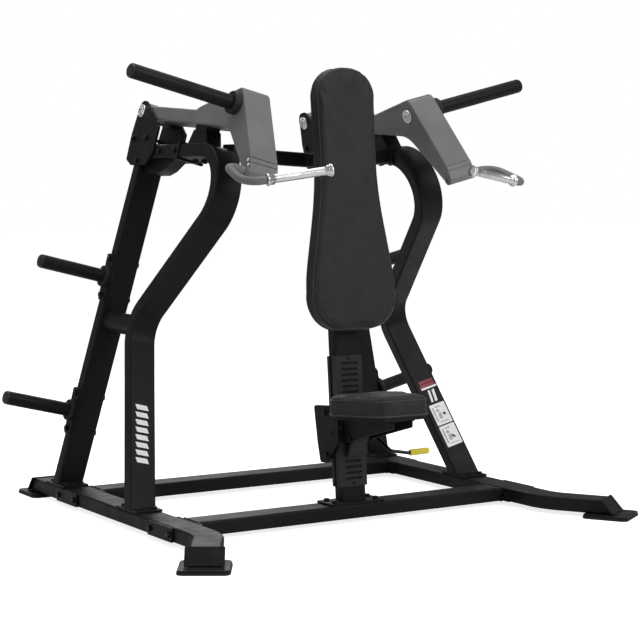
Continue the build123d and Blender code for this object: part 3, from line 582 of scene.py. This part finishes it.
def trim_pad(pad, name, forward, body, levels):
    """Piping cord round a pad at each level, with a row of stitches under the front one."""
    cords = []
    for level in levels:
        loop = even(outline_at(pad, forward, level), 0.006)
        cords.append(tube_along(loop, 0.0021, 8))
    # the cord's lighter colour is a painted highlight along the rim
    add_piece(name + "_piping", join_parts(name + "_piping", cords), "piping_painted_highlight", body)
    stitches = []
    loop = even(outline_at(pad, forward, levels[0] - 0.0065), 0.003)
    count = len(loop)
    for i in range(0, count - 1, 2):
        ends = [loop[i], loop[(i + 1) % count]]
        stitches.append(tube_along([ends[0].lerp(ends[1], t) for t in (0.0, 0.5, 0.95)], 0.00055, 6, False))
    add_piece(name + "_stitches", join_parts(name + "_stitches", stitches), "thread", body)


def make_pads():
    seat_up = Vector((0, sin(SEAT_TILT), cos(SEAT_TILT)))
    for name, forward, body, rim in (("back_pad", COLUMN_FRONT, "frame", 0.009),
                                     ("seat_pad", seat_up, "seat_carriage", 0.006)):
        pad, low, high = make_pad(name, forward, body, rim)
        trim_pad(pad, name, forward, body, (high - SEAM_DEPTH, low + REAR_SEAM))


# ------------------------------------------------------------------- grips
GRIP_BORE = 0.0101
FLANGE_R, NECK_R, SLEEVE_R, TURNED_EDGE = 0.0208, 0.0178, 0.0139, 0.0012
KNURL_START, KNURL_STEP, KNURL_DEPTH = 0.026, 0.00062, 0.00075
KNURL_SIDES, KNURL_PITCH = 132, 4   # points round the sleeve, and points per diamond


def lathe(axis_point, axis, profile, sides=48):
    """Turned solid: profile is (distance along the axis, radius) pairs from end to end."""
    side = axis.orthogonal().normalized()
    up = axis.cross(side)
    verts, faces = [], []
    for along, radius in profile:
        centre = axis_point + axis * along
        verts += [centre + (side * cos(tau * k / sides) + up * sin(tau * k / sides)) * radius
                  for k in range(sides)]
    for i in range(len(profile) - 1):
        for k in range(sides):
            m = (k + 1) % sides
            faces.append((i * sides + k, i * sides + m, (i + 1) * sides + m, (i + 1) * sides + k))
    faces.append(tuple(reversed(range(sides))))
    faces.append(tuple((len(profile) - 1) * sides + k for k in range(sides)))
    return verts, faces


def end_axis(points, normals_areas):
    """Axis of a turned piece: the direction with the most flat face area, and its two end centres."""
    best, total = None, 0.0
    for normal, area in normals_areas:
        same = sum(a for n, a in normals_areas if abs(n.dot(normal)) > 0.9999)
        if same > total:
            best, total = normal, same
    reach = [point.dot(best) for point in points]
    low, high = min(reach), max(reach)
    ends = []
    for level in (low, high):
        ring = [point for point, r in zip(points, reach) if abs(r - level) < 0.0004]
        ends.append(sum(ring, Vector()) / len(ring))
    return best, ends[0], ends[1]


def knurled_grip(side_name):
    """Chrome sleeve with a diamond knurl between two turned flanges."""
    node_name = f"arm_grip_{side_name}"
    bm = cad_mesh(node_name)
    faces = [(face.normal.copy(), face.calc_area()) for face in bm.faces]
    axis, low, high = end_axis([vert.co.copy() for vert in bm.verts], faces)
    bm.free()
    length = (high - low).length
    ends = [
        (0.0, FLANGE_R - TURNED_EDGE), (TURNED_EDGE, FLANGE_R), (0.006 - TURNED_EDGE, FLANGE_R),
        (0.006, FLANGE_R - TURNED_EDGE), (0.0066, NECK_R), (0.0132, NECK_R),
        (0.014, NECK_R - TURNED_EDGE), (0.0146, SLEEVE_R),
    ]
    profile = ends + [(length - along, radius) for along, radius in reversed(ends)]
    parts = [lathe(low, axis, [(0.0, GRIP_BORE)] + profile + [(length, GRIP_BORE)])]
    start, stop = KNURL_START, length - KNURL_START
    sides, rows = KNURL_SIDES, int((stop - start) / KNURL_STEP)
    across = axis.orthogonal().normalized()
    up = axis.cross(across)
    verts, quads = [], []
    for i in range(rows + 1):
        fade = min(1.0, i / 4, (rows - i) / 4)
        for k in range(sides):
            turn = tau * k / sides
            one = abs(((k + i) / KNURL_PITCH % 1) - 0.5) * 2
            two = abs(((k - i) / KNURL_PITCH % 1) - 0.5) * 2
            radius = SLEEVE_R - 0.0002 + KNURL_DEPTH * fade * min(one, two)
            centre = low + axis * (start + (stop - start) * i / rows)
            verts.append(centre + (across * cos(turn) + up * sin(turn)) * radius)
    for i in range(rows):
        for k in range(sides):
            m = (k + 1) % sides
            quads.append((i * sides + k, i * sides + m, (i + 1) * sides + m, (i + 1) * sides + k))
    quads.append(tuple(reversed(range(sides))))
    quads.append(tuple(rows * sides + k for k in range(sides)))
    parts.append((verts, quads))
    grip = add_piece(f"{node_name}_knurled", join_parts(node_name, parts), "chrome", f"{side_name}_arm")
    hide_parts(node_name)


# ------------------------------------------------------------------- bolts
HEAD = 0.009                        # height of a head or nut with its washer
SHORTEST_THROUGH = 0.02             # a shorter solid is a head alone
SHANK_R = 0.0059
HEX_POINTS = 24


def detailed_bolts(node_name, body):
    """Hex bolts with chamfered heads, washers and nuts, each where its plain solid is."""
    bm = cad_mesh(node_name)
    parts = []
    for island in islands(bm):
        faces = {face for vert in island for face in vert.link_faces}
        rows = [(face.normal.copy(), face.calc_area()) for face in faces]
        axis, low, high = end_axis([vert.co.copy() for vert in island], rows)
        length = (high - low).length
        corner = max(island, key=lambda vert: (vert.co - low - axis * (vert.co - low).dot(axis)).length)
        side = corner.co - low - axis * (corner.co - low).dot(axis)
        radius = side.length
        side = side.normalized()
        if length < SHORTEST_THROUGH:
            parts += hex_end(low, axis, side, radius, length)
        else:
            parts += hex_end(low, axis, side, radius, HEAD)
            parts += hex_end(high, -axis, side, radius, HEAD)
            parts.append(lathe(low, axis, [(0.004, SHANK_R), (length - 0.004, SHANK_R)], 20))
    bm.free()
    piece = add_piece(node_name + "_detailed", join_parts(node_name, parts), "black_oxide", body, False)
    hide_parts(node_name)
    bevel(piece, FINE_EDGE, SHARP)


def hex_end(tip, inward, side, radius, height):
    """A hex head or nut whose outer face is at tip, on a round washer."""
    up = inward.cross(side)
    verts = []
    levels = [(0.0, 0.80), (0.0007, 0.90), (0.0016, 1.0), (height - 0.0018, 1.0)]
    for depth, share in levels:
        for k in range(HEX_POINTS):
            turn = tau * k / HEX_POINTS
            flat = cos(pi / 6) / cos((turn + pi / 6) % (pi / 3) - pi / 6)
            reach = radius * min(flat, share) if share < 1 else radius * flat
            ray = side * cos(turn + pi / 6) + up * sin(turn + pi / 6)
            verts.append(tip + inward * depth + ray * reach)
    rings = len(levels) - 1
    faces = []
    for i in range(rings):
        here, there = i * HEX_POINTS, (i + 1) * HEX_POINTS
        for k in range(HEX_POINTS):
            m = (k + 1) % HEX_POINTS
            faces.append((here + k, here + m, there + m, there + k))
    faces.append(tuple(reversed(range(HEX_POINTS))))
    faces.append(tuple(rings * HEX_POINTS + k for k in range(HEX_POINTS)))
    washer = lathe(tip, inward, [(height - 0.0018, radius * 1.05), (height - 0.0014, radius * 1.12),
                                 (height, radius * 1.12)], 40)
    return [(verts, faces), washer]


# ------------------------------------------------------- chrome caps, screws
CAP_R, CAP_H = 0.024, 0.009
CHEEK_FACE = 60.0                   # side-frame mm from the pivot's middle to its cheeks' outer faces
HORN_BACK = 0.3215                  # from the middle of a horn to the seat of the bolt that holds it


def socket_disc(centre, axis, radius, height, shank=0.0):
    """Round head with a rolled rim, a ring groove and a socket in its middle."""
    profile = [
        (0.0, radius - 0.0006), (0.0008, radius), (height - 0.003, radius),
        (height - 0.0012, radius - 0.0009), (height, radius - 0.003), (height, radius - 0.0062),
        (height - 0.0016, radius - 0.0075), (height - 0.0016, radius * 0.58),
        (height + 0.0014, radius * 0.55), (height + 0.0024, radius * 0.48),
        (height + 0.0024, radius * 0.29), (height - 0.005, radius * 0.27),
    ]
    if shank:
        profile = [(-shank, 0.0092), (-shank + 0.001, 0.0098), (0.0, 0.0098)] + profile
    return lathe(centre, axis, profile, 64)


def button_screw(seat, axis, radius):
    """Low domed screw with a socket."""
    height = radius * 0.6
    profile = [(0.0, radius), (height * 0.3, radius), (height * 0.7, radius * 0.84),
               (height, radius * 0.5), (height, radius * 0.32), (height * 0.4, radius * 0.3)]
    return lathe(seat, axis, profile, 32)


def make_caps():
    """Chrome covers of the pivots and the large bolts that hold the arm horns."""
    mounts = {mount["name"]: mount for mount in frame["record"]["mounts"]}
    caps = []
    for side in SIDES:
        out = outward(side)
        for sign in (-1, 1):
            cheek = at_side(side, PIVOT_Y, PIVOT_S, CHEEK_FACE * sign)
            caps.append(socket_disc(cheek, out * sign, CAP_R, CAP_H))
        seat = Vector(mounts[f"arm_horn_{side}"]["pos_m"]) - out * HORN_BACK
        turned = join_parts(f"horn_bolt_{side}", [socket_disc(seat, -out, CAP_R, CAP_H, 0.15)])
        bolt = add_piece(f"arm_horn_bolt_{side}_turned", turned, "chrome", f"{side}_arm")
        sharpen(bolt)
        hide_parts(f"arm_horn_bolt_{side}")
    piece = add_piece("pivot_caps_turned", join_parts("pivot_caps", caps), "chrome", "frame")
    sharpen(piece)
    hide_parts("pivot_caps")


def sharpen(piece):
    """Small rounded edges, with flat faces kept flat."""
    bevel(piece, FINE_EDGE, SHARP)
    piece.modifiers.new("normals", "WEIGHTED_NORMAL")


def column_point(x, w, forward):
    """World point from millimetres across, up and in front of the seat column."""
    across = Vector((x / 1000, 0, 0))
    return COLUMN_FOOT + across + COLUMN_UP * (w / 1000) + COLUMN_FRONT * (forward / 1000)


def make_screws():
    """Button screws of the rack cover, the seat carriage and the handle clamps."""
    rack = [button_screw(column_point(0, w, 28.3), COLUMN_FRONT, 0.0062) for w in (502, 68)]
    sharpen(add_piece("rack_screws", join_parts("rack_screws", rack), "black_oxide", "frame"))
    carriage = [button_screw(column_point(x, 262, 39.8), COLUMN_FRONT, 0.008) for x in (-50, 50)]
    for sign in (-1, 1):
        carriage.append(button_screw(column_point(64.8 * sign, 243, -10), Vector((sign, 0, 0)), 0.009))
    sharpen(add_piece("carriage_screws", join_parts("carriage_screws", carriage), "black_oxide",
                      "seat_carriage"))
    for side in SIDES:
        clamp = [button_screw(at_side(side, y, s, 53.8), outward(side), 0.0065)
                 for y, s in ((-377, 1208), (-386, 1190))]
        sharpen(add_piece(f"clamp_screws_{side}", join_parts("clamp", clamp), "chrome", f"{side}_arm"))


# ------------------------------------------------------------------- welds
def end_bead(node_name, direction, keep=lambda point: True, seed=1):
    """Weld bead round the end of a tube, the end that lies furthest in a direction."""
    reach = max(v.co.dot(direction) for v in NODES[node_name].data.vertices if keep(v.co))
    loops = cut_loops(node_name, direction * (reach - 0.0006), direction)
    loop = [ring for ring in loops if keep(ring[0])][-1]
    return tube_along(even(loop, 0.0035), 0.0026, 8, lumps=0.55, seed=seed)


def make_welds():
    beads = []
    down, along = Vector((0, 0, -1)), Vector((0, 1, 0))
    for name in ("front_upright_left", "front_upright_right", "rear_upright_left",
                 "rear_upright_right", "seat_column"):
        beads.append(end_bead(name, down, seed=len(beads)))
    for name in ("front_crossbar", "rear_crossbar"):
        for sign in (-1, 1):
            beads.append(end_bead(name, Vector((sign, 0, 0)), seed=len(beads)))
    for side in SIDES:
        out = outward(side)
        lean = (at_side(side, 0, 1, 0) - at_side(side, 0, 0, 0)).normalized()
        face = (along + lean * 0.086).normalized()

        def on_side(point, sign=out.x):
            return point.x * sign > 0

        beads.append(end_bead("side_braces", face, on_side, seed=len(beads)))
        beads.append(end_bead("upper_crossbeam", out, on_side, seed=len(beads)))
    add_piece("weld_beads", join_parts("weld_beads", beads), "frame_paint", "frame")


# ---------------------------------------------------------------- markings
KNEE = Vector((254, 627))           # side-frame mm of a front upright's knee, on its centre line
SHIN_DOWN = Vector((-0.4327, -0.9015))
SHIN_FRONT = Vector((-0.9015, 0.4327))
HALF_TUBE = 25
CARD_H = 85


def shin_point(side, across, below, lift):
    """Point on the flat front of a front upright, in mm from its knee; across runs to +X."""
    spot = KNEE + SHIN_DOWN * below + SHIN_FRONT * (HALF_TUBE + lift)
    return at_side(side, spot.x, spot.y, across if side == "right" else -across)


def film(side, outline, lift=0.35):
    """Thin printed film on a front upright, from its outline in (across, below) mm."""
    top = [shin_point(side, a, b, lift) for a, b in outline]
    base = [shin_point(side, a, b, -0.1) for a, b in outline]
    count = len(outline)
    faces = [tuple(range(count)), tuple(reversed(range(count, 2 * count)))]
    faces += [(i, (i + 1) % count, count + (i + 1) % count, count + i) for i in range(count)]
    return top + base, faces


def block(left, right, high, low, slant=0.0, corner=2.0):
    """Outline of a rectangle with rounded corners, leaning by slant mm."""
    points = []
    for x, y, turn in ((right, high, -90), (right, low, 0), (left, low, 90), (left, high, 180)):
        cx = x - corner if x == right else x + corner
        cy = y + corner if y == high else y - corner
        for step in (0, 30, 60, 90):
            angle = radians(turn + step)
            points.append((cx + corner * cos(angle), cy + corner * sin(angle)))
    return [(x + slant * (y - low) / (high - low), y) for x, y in points]


def dot(x, y, radius):
    return [(x + radius * cos(tau * k / 20), y + radius * sin(tau * k / 20)) for k in range(20)]


def make_markings():
    """Plain slanted bars on one upright; coloured strips and two plain picture cards on the other."""
    white = [film("left", block(-24, 22, high, high + 18, -7, 1.5)) for high in range(322, 540, 28)]
    white.append(film("right", block(-30, 42, 331, 339, 0, 1)))
    white.append(film("right", block(-12, -2, 346, 394, 6, 1.5)))
    white.append(film("right", block(6, 18, 346, 394, 6, 1.5)))
    red = [film("right", block(-28, 36, 303, 314, 0, 1)), film("right", block(-30, 38, 317, 329, 0, 1))]
    grey, black = [], []
    cards = (404, 494)
    for top in cards:
        white.append(film("right", block(-31, 40, top, top + CARD_H, 0, 3)))
        shapes = (block(-24, -17, top + 12, top + 70, 0, 2), block(-12, 14, top + 10, top + 15, 0, 2),
                  dot(-3, top + 28, 7), block(-10, 6, top + 38, top + 62, 4, 3),
                  block(-14, 28, top + 72, top + 76, 0, 2))
        grey += [film("right", shape, 0.5) for shape in shapes]
    first, second = cards
    black.append(film("right", dot(20, first + 46, 6), 0.55))
    black.append(film("right", block(13, 24, second + 44, second + 56, -8, 3), 0.55))
    for name, parts in (("white", white), ("red", red), ("grey", grey), ("black", black)):
        piece = add_piece(f"marking_{name}", join_parts(name, parts), f"film_{name}", "frame", False)
        for polygon in piece.data.polygons:
            polygon.use_smooth = False


make_pads()
for side in SIDES:
    knurled_grip(side)
for bolts, rides_on in (("base_bolts", "frame"), ("upper_bolts", "frame"), ("storage_bolts", "frame"),
                        ("carriage_bolts", "seat_carriage")):
    detailed_bolts(bolts, rides_on)
make_caps()
make_screws()
make_welds()
make_markings()
